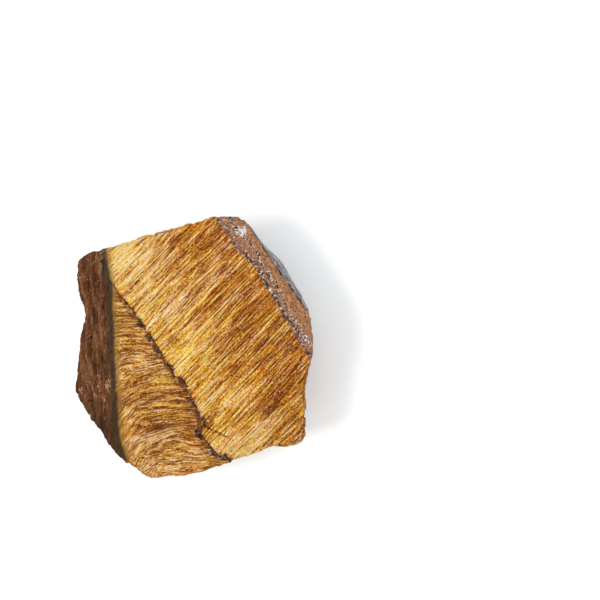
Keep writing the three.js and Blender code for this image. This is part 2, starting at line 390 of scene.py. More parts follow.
def break_surface(mesh, shape):
    """Moves each vertex by the relief of the layer it lies in, and notes the layers for the material."""
    places = field(mesh.vertices, "co", 3) / MM
    normals = smooth_normals(mesh)

    seam, crust = seam_gap(places), crust_depth(places)
    lines = (IRONSTONE_EDGE, SPECK_LINE, SILKY_EDGE)
    ironstone, specks, silky = [beyond_layer(places, line) for line in lines]
    crack, flake = crack_gap(places), flake_share(places)
    straight, bent = straight_place(places), bent_place(places)
    fibre = np.array([math.cos(STRAIGHT_BEARING), math.sin(STRAIGHT_BEARING), 0])
    level_fibre = np.array([math.cos(BENT_BEARING), math.sin(BENT_BEARING), 0])
    crosscut = np.abs(np.where(seam > 0, normals @ fibre, normals @ level_fibre))
    relief = np.where(
        seam > 0,
        fibre_relief(straight, crosscut, 11, shape.splinter_size),
        fibre_relief(bent, crosscut, 21, shape.splinter_size * 1.1),
    )
    on_crust = 1 - smooth(-0.9, -0.1, crust)
    on_ironstone = smooth(-0.6, 0.0, ironstone)
    relief += (shape.crust_size * crust_relief(places) - relief) * on_crust
    relief += (shape.ironstone_size * ironstone_relief(places, ironstone) - relief) * on_ironstone
    waves = shape.wave_size * (swell(places / 11, 51) + 0.4 * swell(places / 4.5, 52))

    # The groove along the seam, the fine crack and the sunken flake between them.
    ragged = 0.22 * swell(places / 1.3, 61) + 0.22 * swell(places / 0.6, 64)
    width = 0.38 * (1 + 0.8 * swell(places / 2.6, 62))
    groove = np.exp(-((seam + ragged) / width) ** 2) * (1 - on_crust) * (1 - on_ironstone)
    fine_groove = np.exp(-((crack + 0.5 * ragged) / 0.26) ** 2)
    cut = shape.seam_depth * (0.7 + 0.7 * swell(places / 2.3, 63)) * groove + 0.4 * fine_groove + 0.4 * flake

    # The underside stays nearly flat, and everything stays inside the solid's box.
    settled = smooth(0.15, 2.5, places[:, 2])
    moved = (relief + waves - cut) * settled - 0.12 * (1 - settled) * (1 + swell(places / 1.6, 71))
    places += normals * moved[:, None]
    places = np.clip(places, np.array(LOWEST) / MM, np.array(HIGHEST) / MM)
    mesh.vertices.foreach_set("co", (places * MM).ravel())
    mesh.update()

    note(mesh, "straight_fibres", straight)
    note(mesh, "bent_fibres", bent)
    sides = [smooth(0.35, 0.85, crosscut), smooth(0.65, 0.35, np.abs(normals[:, 2])), np.zeros(len(places))]
    note(mesh, "end_grain_and_sides", np.stack(sides, axis=1))
    note(mesh, "gaps", np.stack([seam, crack, crust], axis=1))
    note(mesh, "layers", np.stack([ironstone, specks, silky], axis=1))
    note(mesh, "sheen_and_tone_patches", sheen_and_tone_patches(places))
    depth = relief - cut + 0.4 * flake
    note(mesh, "relief_marks_and_edge_shade", np.stack([depth, crust_gap(places), crust_marks_and_edge_shade(places)], axis=1))
    return normals


def map_charts(mesh, normals):
    """A UV map of six flat charts, one for each way that the stone's faces look."""
    # Each chart: the normal's axis and sign, the two axes it is laid out on, its corner and its scale.
    charts = [
        (2, 1, 0, 1, (1, 1), 1.32), (2, -1, 0, 1, (75, 57), 0.7),
        (1, -1, 0, 2, (74, 1), 0.97), (1, 1, 0, 2, (74, 29), 0.97),
        (0, -1, 1, 2, (1, 82), 0.83), (0, 1, 1, 2, (1, 105), 0.83),
    ]
    sheet = 128  # side of the whole map, in millimetres
    places = (field(mesh.vertices, "co", 3) - np.array(LOWEST)) / MM
    loops = field(mesh.loops, "vertex_index", kind=np.int64)
    starts = field(mesh.polygons, "loop_start", kind=np.int64)
    totals = field(mesh.polygons, "loop_total", kind=np.int64)
    facing = np.add.reduceat(normals[loops], starts, axis=0)
    looks = np.stack([facing[:, axis] * sign for axis, sign, *_ in charts], axis=1)
    chosen = np.repeat(looks.argmax(axis=1), totals)
    spots = np.zeros((len(loops), 2))
    for number, (_, _, across, up, corner, scale) in enumerate(charts):
        mine = chosen == number
        spots[mine] = (np.array(corner) + scale * places[loops[mine]][:, [across, up]]) / sheet
    mesh.uv_layers.new(name="OFBake").data.foreach_set("uv", spots.ravel())


# ---------------------------------------------------------------- shader helpers


def place(tree, kind, feeds=None, **settings):
    """Adds a node, and fills its inputs with values or with other nodes' sockets."""
    node = tree.nodes.new(kind)
    for name, value in settings.items():
        setattr(node, name, value)
    for name, value in (feeds or {}).items():
        if isinstance(value, bpy.types.NodeSocket):
            tree.links.new(value, node.inputs[name])
        else:
            node.inputs[name].default_value = value
    return node


def maths(tree, operation, *values, clamp=False):
    """A Math node's result."""
    feeds = dict(enumerate(values))
    return place(tree, "ShaderNodeMath", feeds, operation=operation, use_clamp=clamp).outputs[0]


def between(tree, value, low, high, to_low=0.0, to_high=1.0):
    """A value carried smoothly from one range to another."""
    feeds = {"Value": value, "From Min": low, "From Max": high, "To Min": to_low, "To Max": to_high}
    return place(tree, "ShaderNodeMapRange", feeds, interpolation_type="SMOOTHSTEP").outputs["Result"]


def blend(tree, share, below, above):
    """Two colours mixed, each a socket or red, green and blue."""
    node = place(tree, "ShaderNodeMix", data_type="RGBA")
    for name, value in (("Factor_Float", share), ("A_Color", below), ("B_Color", above)):
        socket = next(s for s in node.inputs if s.identifier == name)
        if isinstance(value, bpy.types.NodeSocket):
            tree.links.new(value, socket)
        else:
            socket.default_value = (*value, 1)
    return next(s for s in node.outputs if s.identifier == "Result_Color")


def mix_number(tree, share, below, above):
    """Two numbers mixed."""
    feeds = {"Factor": share, "A": below, "B": above}
    return place(tree, "ShaderNodeMix", feeds, data_type="FLOAT").outputs["Result"]


def scaled(tree, vector, factors):
    """A vector with each of its numbers times a factor."""
    return place(tree, "ShaderNodeVectorMath", {0: vector, 1: factors}, operation="MULTIPLY").outputs[0]


def reach(tree, vector, way):
    """How far a place lies along a way from the origin."""
    return place(tree, "ShaderNodeVectorMath", {0: vector, 1: way}, operation="DOT_PRODUCT").outputs["Value"]


def grain(tree, told, size, detail=2.0, roughness=0.5, distortion=0.0):
    """Noise over told places. Its size in millimetres is one number, or one along each axis."""
    sizes = [size] * 3 if isinstance(size, float) else size
    feeds = {"Vector": scaled(tree, told, [1 / part for part in sizes]), "Scale": 1.0, "Detail": detail,
             "Roughness": roughness, "Distortion": distortion}
    return place(tree, "ShaderNodeTexNoise", feeds).outputs["Fac"]


def wander(tree, told, size, *settings):
    """The same noise about zero."""
    return maths(tree, "SUBTRACT", grain(tree, told, size, *settings), 0.5)


def rods(tree, told, size):
    """A number from 0 to 1 for each of many packed rods of the given size in millimetres."""
    feeds = {"Vector": scaled(tree, told, [1 / part for part in size]), "Scale": 1.0}
    return parts(tree, place(tree, "ShaderNodeTexVoronoi", feeds).outputs["Color"])[0]


def noted(tree, name):
    """The vector that the stone's mesh notes under a name."""
    return place(tree, "ShaderNodeAttribute", attribute_name=name).outputs["Vector"]


def parts(tree, vector):
    """A vector's three numbers."""
    return place(tree, "ShaderNodeSeparateXYZ", {"Vector": vector}).outputs[:3]


def weigh(tree, *pairs):
    """The sum of numbers, each times its weight."""
    total = None
    for value, weight in pairs:
        total = maths(tree, "MULTIPLY_ADD", value, weight, 0.0 if total is None else total)
    return total


def band(tree, value, half, soft, full=1.0):
    """Full where a value is within half of zero, fading to 0 over a soft edge."""
    return between(tree, maths(tree, "ABSOLUTE", value), half, half + soft, full, 0.0)


def ramp(tree, value, stops):
    """A colour ramp with stops of (place, colour)."""
    node = place(tree, "ShaderNodeValToRGB", {"Fac": value})
    elements = node.color_ramp.elements
    while len(elements) < len(stops):
        elements.new(0.5)
    for element, (spot, colour) in zip(elements, stops):
        element.position = spot
        element.color = (*colour[:3], 1)
    return node.outputs["Color"]


def new_group(name, inputs, outputs):
    """An empty node group with named sockets, and its own input and output sockets."""
    tree = bpy.data.node_groups.new(name, "ShaderNodeTree")
    for label, kind, value in inputs:
        socket = tree.interface.new_socket(label, in_out="INPUT", socket_type="NodeSocket" + kind)
        if value is not None:
            socket.default_value = value
    for label, kind in outputs:
        tree.interface.new_socket(label, in_out="OUTPUT", socket_type="NodeSocket" + kind)
    return tree, tree.nodes.new("NodeGroupInput").outputs, tree.nodes.new("NodeGroupOutput").inputs


def group_node(tree, group, feeds):
    """Places a node group and gives back its outputs."""
    return place(tree, "ShaderNodeGroup", feeds, node_tree=group).outputs


# ---------------------------------------------------------------- node groups


def fibre_streaks_group():
    """Silky fibres: crisp hairs and threads within bundles, with flecks and slow changes of hue."""
    tree, given, result = new_group(
        "Fibre Streaks",
        [("Fibre Place", "Vector", None), ("Contrast", "Float", 1.0), ("Lift", "Float", 0.0),
         ("Gold", "Float", 0.0), ("Milk And Glint", "Float", 0.0)],
        [("Tone", "Float"), ("Gold", "Float"), ("Ember", "Float"), ("Dusky", "Float"), ("Milk And Glint", "Float"),
         ("Height", "Float")],
    )
    # Streaks from fine hairs to bundles, with dark gaps and light glints between the strands.
    told = given["Fibre Place"]
    strand = grain(tree, told, (5.5, 0.36, 0.36), 0.0)
    hair = between(tree, grain(tree, told, (4.0, 0.24, 0.24), 0.0), 0.4, 0.6)
    rod = rods(tree, told, (10.0, 0.55, 0.55))
    bundle = grain(tree, told, (24, 1.6, 1.6), 1.5)
    fleck = grain(tree, told, (0.5, 0.22, 0.22), 0.0)
    gaps = between(tree, strand, 0.42, 0.33)
    glint = between(tree, strand, 0.57, 0.66)
    streaks = weigh(tree, (strand, 0.45), (hair, 0.18), (rod, 0.18), (fleck, 1.1), (bundle, 0.6),
                    (gaps, -0.14), (glint, 0.22))
    streaks = maths(tree, "SUBTRACT", streaks, 1.27)
    tone = maths(tree, "MULTIPLY_ADD", streaks, given["Contrast"], 0.5)
    tone = maths(tree, "ADD", tone, given["Lift"])
    tree.links.new(tone, result["Tone"])

    # Where the fibres turn golden, orange and a dull dusky brown.
    narrow, wide = grain(tree, told, (8, 0.9, 0.9), 1.0), grain(tree, told, (7, 4, 4), 1.0)
    stripe = weigh(tree, (narrow, 0.6), (wide, 0.4))
    gold = maths(tree, "ADD", between(tree, stripe, 0.4, 0.6, 0.05, 0.95), given["Gold"], clamp=True)
    tree.links.new(gold, result["Gold"])
    ember = between(tree, grain(tree, told, (5, 1.3, 1.3), 1.5), 0.54, 0.68, 0.0, 0.75)
    tree.links.new(ember, result["Ember"])
    dull = between(tree, grain(tree, told, (1.1, 0.3, 0.3), 1.0), 0.56, 0.64)
    patch = between(tree, grain(tree, told, (4, 2.0, 2.0), 1.0), 0.5, 0.66, 0.0, 0.45)
    tree.links.new(maths(tree, "MULTIPLY", dull, patch), result["Dusky"])

    # Milk, partly whitish flecks and partly painted glints on the bright strands, lies in short dashes, and
    # as a haze where it is asked for, but not on the dark streaks.
    dashes = between(tree, grain(tree, told, (0.9, 0.26, 0.3), 0.0), 0.56, 0.66)
    where = between(tree, grain(tree, told, (5, 2.2, 2.2), 1.0), 0.44, 0.62, 0.1, 0.85)
    where = maths(tree, "MULTIPLY_ADD", given["Milk And Glint"], 1.6, where)
    haze = maths(tree, "MULTIPLY", given["Milk And Glint"], between(tree, strand, 0.44, 0.62, 0.25, 1.5))
    milk_and_glint = maths(tree, "MULTIPLY_ADD", dashes, where, haze, clamp=True)
    milk_and_glint = maths(tree, "MULTIPLY", milk_and_glint, between(tree, tone, 0.1, 0.55, 0.15, 1.0))
    tree.links.new(milk_and_glint, result["Milk And Glint"])
    tree.links.new(weigh(tree, (strand, 1.6), (hair, 0.3), (rod, 0.6)), result["Height"])
    return tree


def crust_group(colours):
    """The crust: long dull ridges, brown and reddish, with fine pale scratches."""
    tree, given, result = new_group(
        "Crust Ridges",
        [("Place", "Vector", None), ("Mark And Edge Shade", "Float", 0.0)],
        [("Color", "Color"), ("Height", "Float")],
    )
    told = given["Place"]
    ridge = grain(tree, told, (1.7, 9, 1.7), 3.0, 0.55, 0.5)
    thread = grain(tree, told, (0.5, 2.6, 0.5), 2.0, 0.6, 0.4)
    fleck = grain(tree, told, (0.35, 0.6, 0.35), 1.0)
    patch = grain(tree, told, (4, 9, 5), 1.5)
    tone = weigh(tree, (ridge, 0.5), (thread, 0.3), (fleck, 0.2))
    plain, red = [
        ramp(tree, tone, [(0.36, colours.crust_dark), (0.5, middle), (0.66, colours.crust_light)])
        for middle in (colours.crust, colours.crust_red)
    ]
    colour = blend(tree, between(tree, patch, 0.42, 0.6), plain, red)

    # Fine pale scratches and the noted marks, whose black one on the left edge is painted shade. The crust
    # is darker towards the front.
    curl = wander(tree, told, (1.6, 3.0, 2.0), 1.0, 0.5, 0.8)
    scratched = between(tree, patch, 0.46, 0.62, 0.0, 0.7)
    scratch = maths(tree, "MULTIPLY", band(tree, curl, 0.004, 0.012), scratched)
    marked = between(tree, maths(tree, "MULTIPLY_ADD", given["Mark And Edge Shade"], 0.35, fleck), 0.72, 0.8, 0.0, 0.9)
    pale = maths(tree, "MAXIMUM", scratch, marked)
    colour = blend(tree, pale, colour, colours.crust_pale)
    colour = blend(tree, between(tree, given["Mark And Edge Shade"], -0.2, -0.8), colour, colours.seam)
    front = between(tree, parts(tree, told)[1], -8.0, -19.0, 0.0, 0.6)
    colour = blend(tree, front, colour, colours.crust_dark)
    tree.links.new(colour, result["Color"])
    tree.links.new(weigh(tree, (ridge, 1.0), (thread, 0.8)), result["Height"])
    return tree


def ironstone_group(colours):
    """The ironstone: a dark inner lamina, two rusty layers with a line of specks between, a silky rim."""
    tree, given, result = new_group(
        "Ironstone Layers",
        [("Depth", "Float", 0.0), ("Specks", "Float", 0.0), ("Silky", "Float", 0.0),
         ("Place", "Vector", None)],
        [("Color", "Color"), ("Height", "Float")],
    )
    told = given["Place"]
    wobble = wander(tree, told, 1.5, 3.0, 0.6)
    depth, specks, silky = [
        maths(tree, "MULTIPLY_ADD", wobble, swing, given[name])
        for name, swing in (("Depth", 2.6), ("Specks", 2.4), ("Silky", 1.0))
    ]
    fine = grain(tree, told, 0.42, 2.0, 0.65)
    other = grain(tree, told, 0.6, 2.0, 0.65)
    patch = grain(tree, told, 2.4, 1.0)

    # The two rusty layers, the dark lamina and the line of specks, both broken up in places.
    outer, patchy = between(tree, specks, -0.6, 0.6), between(tree, patch, 0.4, 0.6)
    redness = weigh(tree, (outer, 0.6), (patchy, 0.4))
    rust = blend(tree, redness, colours.rust_dull, colours.rust)
    rust = blend(tree, between(tree, other, 0.5, 0.62, 0.0, 0.75), rust, colours.rust_pale)
    rust = blend(tree, between(tree, fine, 0.49, 0.37, 0.0, 0.85), rust, colours.rust_dark)
    lamina = ramp(tree, other, [
        (0.34, colours.hematite), (0.42, colours.iron_brown), (0.49, colours.iron_dull),
        (0.57, colours.iron_grey), (0.67, colours.quartz)])
    line = ramp(tree, fine, [
        (0.4, colours.hematite), (0.48, colours.iron_dull), (0.53, colours.rust_dull),
        (0.59, colours.quartz)])
    lamina_share = between(tree, patch, 0.3, 0.5, 0.55, 1.0)
    line_share = between(tree, patch, 0.62, 0.42, 0.45, 1.0)
    colour = blend(tree, maths(tree, "MULTIPLY", band(tree, depth, 0.24, 0.45), lamina_share), rust, lamina)
    colour = blend(tree, maths(tree, "MULTIPLY", band(tree, specks, 0.22, 0.34), line_share), colour, line)

    # The largest white grain, with a ragged edge.
    spot = place(tree, "ShaderNodeVectorMath", {0: told, 1: QUARTZ_SPOT}, operation="DISTANCE")
    spot = maths(tree, "MULTIPLY_ADD", maths(tree, "SUBTRACT", other, 0.5), 5.0, spot.outputs["Value"])
    colour = blend(tree, between(tree, spot, 1.3, 0.7), colour, colours.quartz)

    # The silky rim, streaked the way that the layers run, with a dark line where it begins.
    feeds = {"X": silky, "Y": reach(tree, told, STRIKE), "Z": parts(tree, told)[2]}
    silk = grain(tree, place(tree, "ShaderNodeCombineXYZ", feeds).outputs[0], (0.5, 4.0, 0.9), 3.0, 0.6)
    sheen = ramp(tree, weigh(tree, (silk, 0.7), (fine, 0.3)), [
        (0.36, colours.slate_dark), (0.47, colours.slate), (0.6, colours.slate_pale)])
    colour = blend(tree, between(tree, silky, -0.05, 0.15), colour, sheen)
    rim = maths(tree, "MULTIPLY", band(tree, silky, 0.1, 0.25), between(tree, patch, 0.36, 0.55, 0.9, 0.35))
    tree.links.new(blend(tree, rim, colour, colours.hematite), result["Color"])
    tree.links.new(weigh(tree, (fine, 0.8), (other, 0.6), (silk, 0.5)), result["Height"])
    return tree


def highlight_and_shade_group():
    """Pale dust and a painted highlight on what stands out, and painted shade in what lies deep."""
    tree, given, result = new_group(
        "Dust Highlight And Painted Shade",
        [("Color", "Color", (0.5, 0.5, 0.5, 1)), ("Relief", "Float", 0.0), ("Place", "Vector", None),
         ("Dust And Highlight", "Float", 0.3), ("Painted Shade", "Float", 0.5), ("Dust And Highlight Color", "Color", (0.6, 0.5, 0.4, 1)),
         ("Painted Shade Color", "Color", (0.05, 0.03, 0.02, 1))],
        [("Color", "Color")],
    )
    patchy = between(tree, grain(tree, given["Place"], 1.2, 3.0, 0.6), 0.42, 0.68)
    high = maths(tree, "MULTIPLY", between(tree, given["Relief"], 0.1, 0.5), patchy)
    deep = between(tree, given["Relief"], -0.2, -0.65)
    dusted_and_lit = blend(tree, maths(tree, "MULTIPLY", high, given["Dust And Highlight"]), given["Color"], given["Dust And Highlight Color"])
    dusted_lit_and_shaded = blend(tree, maths(tree, "MULTIPLY", deep, given["Painted Shade"]), dusted_and_lit, given["Painted Shade Color"])
    tree.links.new(dusted_lit_and_shaded, result["Color"])
    return tree


# ---------------------------------------------------------------- the material


def fibre_colour(tree, streaks, colours):
    """The colour of a fibre band from its streaks: brown through amber and gold to cream."""
    tone = streaks["Tone"]
    amber = ramp(tree, tone, [
        (0.0, colours.umber), (0.25, colours.amber_deep), (0.5, colours.amber), (0.75, colours.honey),
        (1.0, colours.cream),
    ])
    straw = ramp(tree, tone, [
        (0.0, colours.umber), (0.22, colours.straw_deep), (0.5, colours.straw), (0.78, colours.straw_light),
        (1.0, colours.cream),
    ])
    golden = blend(tree, streaks["Gold"], amber, straw)
    ember = ramp(tree, tone, [(0.0, colours.umber), (0.5, colours.ember), (1.0, colours.straw_light)])
    golden = blend(tree, streaks["Ember"], golden, ember)
    golden = blend(tree, streaks["Dusky"], golden, colours.dusky)
    return blend(tree, maths(tree, "MULTIPLY", streaks["Milk And Glint"], 0.8), golden, colours.milk_and_glint)


def fibre_band(tree, streaks_of, colours, name, looks, side, hue):
    """The colour and height of one band of fibres, which lie in broken sheets along the stone's sides."""
    told = noted(tree, name)
    sheeted = scaled(tree, told, (1, 0.12, 1))
    face, sides = [
        group_node(tree, streaks_of, {"Fibre Place": where, **looks}) for where in (told, sheeted)
    ]
    colour = blend(tree, side, *(fibre_colour(tree, streaks, colours) for streaks in (face, sides)))
    feeds = {"Hue": hue, "Saturation": SATURATION, "Color": colour}
    colour = place(tree, "ShaderNodeHueSaturation", feeds).outputs["Color"]
    return colour, mix_number(tree, side, face["Height"], sides["Height"])


def fibre_bands(tree, colours, here, relief, seam, side, end_grain):
    """The colour and height of the bent fibres, and those of the straight ones."""
    # The fibres are paler and more golden towards the crust. They are lighter where they stand out and
    # darker where they lie deep, a painted highlight and painted shade, and darker close to the seam, a
    # painted shade along it. The patches' lift is partly a painted sheen.
    lift, gold, milk_and_glint = parts(tree, noted(tree, "sheen_and_tone_patches"))
    inward = reach(tree, here, (*LAYER_ACROSS, 0))
    lift = maths(tree, "MULTIPLY_ADD", relief, 0.15, lift)
    lift = maths(tree, "ADD", lift, between(tree, inward, -10.0, 16.0, 0.09, -0.1))
    lift = maths(tree, "ADD", lift, band(tree, seam, 0.2, 1.3, -0.1))
    gold = maths(tree, "ADD", gold, between(tree, inward, -8.0, 18.0, 0.15, -0.3))

    # Fibres that are broken across show duller and blotchier.
    lift = maths(tree, "MULTIPLY_ADD", end_grain, -0.1, lift)
    coarse = wander(tree, here, (3.0, 3.0, 1.4), 3.0, 0.6)
    lift = maths(tree, "MULTIPLY_ADD", maths(tree, "MULTIPLY", coarse, end_grain), 1.1, lift)
    gold = maths(tree, "MULTIPLY_ADD", end_grain, -0.25, gold)
    contrast = maths(tree, "MULTIPLY_ADD", end_grain, -0.4, 1.0)
    straight = {"Contrast": contrast, "Lift": lift, "Gold": gold, "Milk And Glint": milk_and_glint}

    # The bent fibres are darker, milkier and softer than the straight ones, and lie in folds.
    folds = grain(tree, noted(tree, "bent_fibres"), (6.0, 1.1, 1.1), 1.0)
    folds = between(tree, folds, 0.34, 0.66, -0.37, -0.25)
    bent = {"Contrast": maths(tree, "MULTIPLY", contrast, 0.77), "Lift": maths(tree, "ADD", lift, folds),
            "Gold": maths(tree, "SUBTRACT", gold, 0.02), "Milk And Glint": maths(tree, "ADD", milk_and_glint, 0.11)}
    streaks_of = fibre_streaks_group()
    return (fibre_band(tree, streaks_of, colours, "bent_fibres", bent, side, BENT_HUE),
            fibre_band(tree, streaks_of, colours, "straight_fibres", straight, side, STRAIGHT_HUE))


def seam_filling(tree, colours, here, colour, seam, crack, ragged, side):
    """The dark filling of the seam and of its fine crack: blotches with a speckled halo, which is partly a
    painted shadow beside the seam.
    """
    thick = between(tree, grain(tree, here, 1.7, 1.5), 0.4, 0.62, -0.25, 0.8)
    speckle = grain(tree, here, 0.5, 2.0)
    from_seam = maths(tree, "ABSOLUTE", seam)
    # The halo is partly a painted shadow along the seam.
    halo = between(tree, maths(tree, "SUBTRACT", from_seam, thick), 0.0, 0.4, 1.0, 0.0)
    halo = maths(tree, "MULTIPLY", halo, between(tree, speckle, 0.42, 0.52))
    core = between(tree, maths(tree, "MULTIPLY_ADD", thick, -0.5, from_seam), 0.08, 0.34, 0.85, 0.0)
    # The seam is faint at its back end and on the stone's sides.
    faint = between(tree, parts(tree, here)[1], 5.0, 9.0, 0.95, 0.32)
    faint = maths(tree, "MULTIPLY", faint, maths(tree, "MULTIPLY_ADD", side, -0.4, 1.0))
    filled = maths(tree, "MULTIPLY", maths(tree, "MAXIMUM", halo, core), faint)
    cracked = between(tree, maths(tree, "MULTIPLY_ADD", ragged, 0.5, crack), 0.05, 0.3, 0.8, 0.0)
    filling = ramp(tree, grain(tree, here, 0.42, 2.0), [
        (0.44, colours.seam), (0.51, colours.crust), (0.56, colours.seam), (0.66, colours.slate)])
    return blend(tree, cracked, blend(tree, filled, colour, filling), colours.seam)


def with_highlight_and_shade(tree, highlight_and_shade_of, surface, colour, dust_and_highlight, painted_shade):
    """A colour with dust and a painted highlight where it stands out, and painted shade where it lies deep.
    Each is an amount and a colour.
    """
    return group_node(tree, highlight_and_shade_of, {
        "Color": colour, "Dust And Highlight": dust_and_highlight[0], "Dust And Highlight Color": (*dust_and_highlight[1], 1), "Painted Shade": painted_shade[0],
        "Painted Shade Color": (*painted_shade[1], 1), **surface})["Color"]


def stone_material(colours):
    """Tiger's eye: two fibre bands, the seam between them, the crust and the ironstone."""
    material = bpy.data.materials.new("tigers_eye_finish")
    material.use_nodes = True
    tree = material.node_tree
    tree.nodes.clear()
    here = scaled(tree, place(tree, "ShaderNodeTexCoord").outputs["Object"], [1 / MM] * 3)
    seam, crack, crust = parts(tree, noted(tree, "gaps"))
    ironstone, specks, silky = parts(tree, noted(tree, "layers"))
    relief, crust_edge, mark_and_edge_shade = parts(tree, noted(tree, "relief_marks_and_edge_shade"))
    end_grain, side = parts(tree, noted(tree, "end_grain_and_sides"))[:2]
    surface = {"Relief": relief, "Place": here}
    highlight_and_shade_of = highlight_and_shade_group()

    # The two bands of fibres, which meet at the seam.
    ragged = wander(tree, here, 0.8, 3.0, 0.6)
    ragged_seam = maths(tree, "MULTIPLY_ADD", ragged, 0.75, seam)
    on_straight = between(tree, ragged_seam, -0.08, 0.08)
    bent, straight = fibre_bands(tree, colours, here, relief, seam, side, end_grain)
    colour = blend(tree, on_straight, bent[0], straight[0])
    height = mix_number(tree, on_straight, bent[1], straight[1])
    # Cream dust and a painted highlight on raised fibres, umber painted shade in deep ones.
    colour = with_highlight_and_shade(tree, highlight_and_shade_of, surface, colour, (0.2, colours.cream), (0.7, colours.umber))
    colour = seam_filling(tree, colours, here, colour, ragged_seam, crack, ragged, side)

    # The fibres turn a dull gold beside the crust.
    shade = between(tree, crust_edge, 0.2, 1.9, 0.7, 0.0)
    shade = maths(tree, "MULTIPLY", shade, between(tree, crust, 0.4, 2.4, 1.0, 0.0))
    colour = blend(tree, shade, colour, colours.selvage_gold)

    # The crust, with a dark band along its inner edge.
    look = group_node(tree, crust_group(colours), {"Place": here, "Mark And Edge Shade": mark_and_edge_shade})
    # Light crust as dust and painted highlight on raised crust, dark crust as painted shade in its furrows.
    crust_colour = with_highlight_and_shade(
        tree, highlight_and_shade_of, surface, look["Color"], (0.25, colours.crust_light), (0.6, colours.crust_dark))
    uneven = wander(tree, here, (1.6, 3.0, 1.6), 2.0)
    selvage = between(tree, maths(tree, "MULTIPLY_ADD", uneven, 1.6, crust_edge), -2.3, -0.9, 0.0, 0.86)
    selvage = maths(tree, "MULTIPLY", selvage, between(tree, ragged, 0.14, -0.1, 0.72, 1.0))
    on_crust = between(tree, maths(tree, "MULTIPLY_ADD", uneven, 0.7, crust), -0.3, 0.4, 1.0, 0.0)
    colour = blend(tree, on_crust, colour, blend(tree, selvage, crust_colour, colours.selvage))
    height = mix_number(tree, on_crust, height, look["Height"])

    # The ironstone. It and the crust are duller than the fibres.
    look = group_node(tree, ironstone_group(colours), {
        "Depth": ironstone, "Specks": specks, "Silky": silky, "Place": here})
    # Quartz dust and painted highlight on raised ironstone, hematite painted shade in what lies deep.
    iron_colour = with_highlight_and_shade(tree, highlight_and_shade_of, surface, look["Color"], (0.1, colours.quartz), (0.5, colours.hematite))
    on_ironstone = between(tree, maths(tree, "MULTIPLY_ADD", ragged, 1.5, ironstone), -0.65, -0.2)
    colour = blend(tree, on_ironstone, colour, iron_colour)
    height = mix_number(tree, on_ironstone, height, look["Height"])

    bump = place(tree, "ShaderNodeBump", {"Strength": 0.8, "Distance": BUMP_HEIGHT, "Height": height})
    dull = maths(tree, "MAXIMUM", on_crust, on_ironstone)
    shader = place(tree, "ShaderNodeBsdfPrincipled", {
        "Base Color": colour, "Roughness": between(tree, dull, 0.0, 1.0, GLOSSY, DULL),
        "Normal": bump.outputs["Normal"], "IOR": 1.5, "Specular IOR Level": 0.04})
    end = tree.nodes.new("ShaderNodeOutputMaterial")
    tree.links.new(shader.outputs["BSDF"], end.inputs["Surface"])
    return material


# ---------------------------------------------------------------- settings


def colour_setting(name, description, value):
    """A colour that a user may change."""
    return FloatVectorProperty(
        name=name, description=description, subtype="COLOR", size=3, min=0, max=1, default=value)


class StoneShape(bpy.types.PropertyGroup):
    """Sizes of the broken surface."""

    mesh_step: FloatProperty(
        name="Mesh step", description="Spacing of the fine mesh", default=0.345 * MM, unit="LENGTH",
        precision=5)
    splinter_size: FloatProperty(
        name="Splinters", description="How strongly the broken fibres stand out", default=1.0, min=0)
    crust_size: FloatProperty(
        name="Crust ridges", description="How strongly the crust's ridges stand out", default=1.0, min=0)
    ironstone_size: FloatProperty(
        name="Ironstone ledges", description="How strongly the ironstone's layers stand out", default=1.0,
        min=0)
    wave_size: FloatProperty(
        name="Waves", description="Height of each face's slow swells, in millimetres", default=0.4, min=0)
    seam_depth: FloatProperty(
        name="Seam depth", description="Depth of the seam's groove, in millimetres", default=0.8, min=0)


